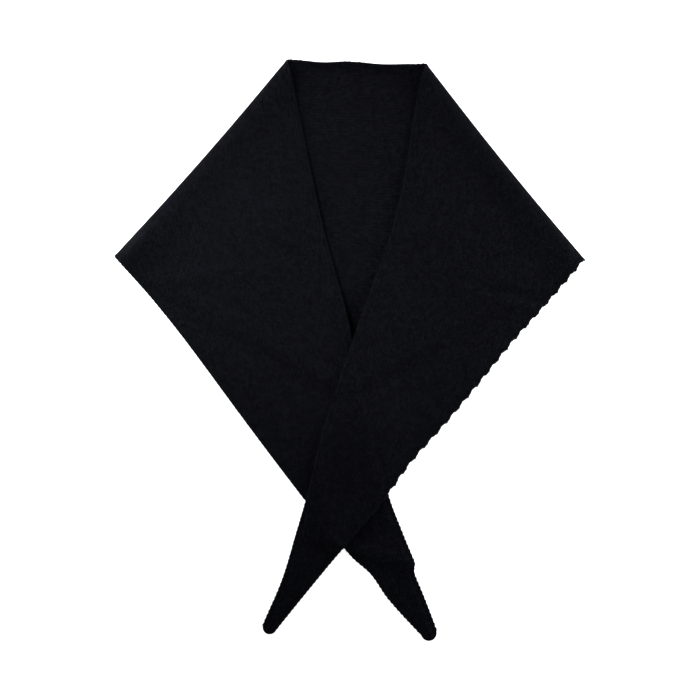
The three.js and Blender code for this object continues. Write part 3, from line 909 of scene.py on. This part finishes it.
def knit_material():
    """Columns of V stitches: legs that lean both ways from the middle of each wale, with painted shade
    in the hollows between them.
    """
    graph = Graph("knitted_wool")
    set_wool_finish(graph.shader)
    uv = graph.nodes.new("ShaderNodeUVMap")
    uv.uv_map = "stitches"
    parts = graph.nodes.new("ShaderNodeSeparateXYZ")
    graph.links.new(uv.outputs["UV"], parts.inputs[0])
    place = graph.nodes.new("ShaderNodeTexCoord").outputs["Object"]

    # Uneven hand tension moves stitches a little both ways
    uneven = graph.math("SUBTRACT", graph.noise(place, COURSE_DRIFT_SCALE), 0.5)
    uneven_wale = graph.math("SUBTRACT", graph.noise(place, WALE_DRIFT_SCALE), 0.5)
    course = graph.math("MULTIPLY_ADD", uneven, COURSE_DRIFT, parts.outputs["X"])
    wale = graph.math("MULTIPLY_ADD", uneven_wale, WALE_DRIFT, parts.outputs["Y"])

    # side is 0 along the middle of a wale and 1 between two wales
    inside = graph.math("SUBTRACT", graph.math("FRACT", wale), 0.5)
    side = graph.math("MULTIPLY", graph.math("ABSOLUTE", inside), 2.0)
    lean = graph.math("MULTIPLY_ADD", side, -LEG_LEAN, course)
    wave = graph.math("ABSOLUTE", graph.math("SINE", graph.math("MULTIPLY", lean, math.pi)))
    leg = graph.math("POWER", wave, LEG_ROUNDNESS)
    far_side = graph.math("POWER", side, BETWEEN_WALES_POWER)
    between_wales = graph.math("MULTIPLY_ADD", far_side, -BETWEEN_WALES_DARK, 1.0)
    near_middle = graph.math("POWER", graph.math("SUBTRACT", 1.0, side), MIDDLE_LINE_POWER)
    middle_line = graph.math("MULTIPLY_ADD", near_middle, -MIDDLE_LINE_DARK, 1.0)
    stitch = graph.math("MULTIPLY", leg, graph.math("MULTIPLY", between_wales, middle_line))

    # Each leg of a stitch has its own tone, and loose fibres lie over the yarn
    leg_number = graph.math("FLOOR", lean)
    half_wale = graph.math("FLOOR", graph.math("MULTIPLY", wale, 2.0))
    spot = graph.nodes.new("ShaderNodeCombineXYZ")
    graph.put(spot.inputs[0], leg_number)
    graph.put(spot.inputs[1], half_wale)
    lots = graph.nodes.new("ShaderNodeTexWhiteNoise")
    lots.noise_dimensions = "2D"
    graph.put(lots.inputs["Vector"], spot.outputs[0])
    own_tone = graph.math("MULTIPLY_ADD", lots.outputs["Value"], OWN_TONE, 1 - OWN_TONE / 2)
    fibres = graph.noise(place, FIBRE_SCALE, FIBRE_DETAIL)
    height = graph.math("MULTIPLY_ADD", fibres, FIBRE_SHARE, stitch)
    graph.bump(height, KNIT_RELIEF)

    # Painted shade: the stitch pattern darkens the colour toward the groove colour in its hollows.
    # Tufts, patches and flecks of paler fibre at the size of a few stitches are the yarn's own random
    # tone
    tufts = graph.math("SUBTRACT", graph.noise(place, TUFT_SCALE), 0.5)
    heather = graph.math("SUBTRACT", graph.noise(place, HEATHER_SCALE), 0.5)
    above_fleck = graph.math("SUBTRACT", graph.noise(place, FLECK_SCALE, FLECK_DETAIL), FLECK_FROM)
    flecks = graph.math("MAXIMUM", above_fleck, 0.0)
    tone = graph.math("MULTIPLY", graph.math("POWER", stitch, STITCH_SHADE_CONTRAST), own_tone)
    tone = graph.math("MULTIPLY", tone, graph.math("MULTIPLY_ADD", tufts, TUFT_TONE, 1.0))
    tone = graph.math("MULTIPLY", tone, graph.math("MULTIPLY_ADD", heather, HEATHER_TONE, 1.0))
    tone = graph.math("MULTIPLY_ADD", flecks, FLECK_TONE, tone)
    # Colour from the painted shade of the grooves up to the yarn's own colour on the stitches
    colours = graph.colours(tone, WOOL_GROOVE_PAINTED_SHADE, WOOL_RIDGE)
    graph.put(graph.shader.inputs["Base Color"], colours)
    return graph.material


def yarn_material():
    """The bare, fibrous yarn of the edge stitches."""
    graph = Graph("edge_yarn")
    set_wool_finish(graph.shader)
    place = graph.nodes.new("ShaderNodeTexCoord").outputs["Object"]
    fibres = graph.noise(place, YARN_FIBRE_SCALE, FIBRE_DETAIL)
    graph.bump(fibres, YARN_RELIEF)
    # Painted shade: the colour darkens toward the groove colour where the fibre relief is low
    graph.put(graph.shader.inputs["Base Color"], graph.colours(fibres, WOOL_GROOVE_PAINTED_SHADE, WOOL_RIDGE))
    return graph.material


def floor_material():
    """A white light table, as under the neckerchief in the photograph."""
    graph = Graph("plain_pale_floor")
    graph.shader.inputs["Emission Color"].default_value = (1, 1, 1, 1)
    graph.shader.inputs["Emission Strength"].default_value = 1.0
    place = graph.nodes.new("ShaderNodeTexCoord").outputs["Object"]
    grain = graph.noise(place, FLOOR_GRAIN_SCALE)
    graph.put(graph.shader.inputs["Base Color"], graph.colours(grain, FLOOR_LOW, FLOOR_HIGH))
    graph.shader.inputs["Roughness"].default_value = FLOOR_ROUGHNESS
    return graph.material


# Stage, light and camera
def build_floor():
    mesh = bpy.data.meshes.new("floor")
    corners = [(x * FLOOR_HALF, y * FLOOR_HALF, 0) for x, y in ((-1, -1), (1, -1), (1, 1), (-1, 1))]
    mesh.from_pydata(corners, [], [(0, 1, 2, 3)])
    mesh.materials.append(floor_material())
    floor = bpy.data.objects.new("floor", mesh)
    bpy.context.scene.collection.objects.link(floor)


def add_softbox(name, azimuth, distance, power, aim, elevation=RING_ELEVATION, spread=OPEN_SPREAD):
    """A round softbox, placed by its direction from the middle: azimuth from +Y toward +X."""
    turn = math.radians(azimuth)
    rise = math.radians(elevation)
    level = distance * math.cos(rise)
    data = bpy.data.lights.new(name, "AREA")
    data.shape = "DISK"
    data.size = SOFTBOX_SIZE
    data.energy = power
    data.spread = math.radians(spread)
    light = bpy.data.objects.new(name, data)
    light.location = (level * math.sin(turn), level * math.cos(turn), distance * math.sin(rise))
    facing = Vector((*aim, 0)) - light.location
    light.rotation_euler = facing.to_track_quat("-Z", "Y").to_euler()
    light.visible_camera = False
    bpy.context.scene.collection.objects.link(light)


def build_lights():
    for row in LIGHT_ROWS:
        add_softbox(**row)
    world = bpy.data.worlds.new("studio")
    world.use_nodes = True
    world.node_tree.nodes["Background"].inputs["Color"].default_value = (1, 1, 1, 1)
    world.node_tree.nodes["Background"].inputs["Strength"].default_value = WORLD_STRENGTH
    bpy.context.scene.world = world
    bpy.context.scene.view_settings.view_transform = "Standard"


def build_camera():
    data = bpy.data.cameras.new("camera")
    data.sensor_width = SENSOR
    data.lens = SENSOR * CAMERA_HEIGHT / (PIXELS * METRES_PER_PIXEL)
    data.clip_start = CAMERA_NEAR
    data.clip_end = CAMERA_FAR
    camera = bpy.data.objects.new("camera", data)
    centre_x = (PIXELS / 2 - PHOTO_CENTRE_X) * METRES_PER_PIXEL
    centre_y = (PHOTO_CENTRE_Y - PIXELS / 2) * METRES_PER_PIXEL
    camera.location = (centre_x, centre_y, CAMERA_HEIGHT)
    bpy.context.scene.collection.objects.link(camera)
    bpy.context.scene.camera = camera


def shift_to_part():
    """From the fold lines' own origin to the part's, the middle of its outline."""
    rows = sections()
    edges = np.concatenate([rows[:, 0:2], rows[:, 2:4]])
    outline = folded_place(edges[:, 0], edges[:, 1])
    low = outline.min(0)
    high = outline.max(0)
    return np.array([-(low[0] + high[0]) / 2, -(low[1] + high[1]) / 2, 0.0])


part_middle = np.zeros(2)
build_camera()
build_lights()
build_floor()
shift = shift_to_part()
part_middle = shift[:2]
knit = knit_material()
sheet = build_sheet(knit, shift)
yarn = yarn_material()
long_run, short_run = edge_runs()
long_loops = build_edge_loops("long_edge_loops", long_run, 1, yarn, shift)
short_loops = build_edge_loops("short_edge_loops", short_run, -1, yarn, shift)
for piece in (sheet, long_loops, short_loops):
    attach(piece, "root")
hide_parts("knitted_triangle")
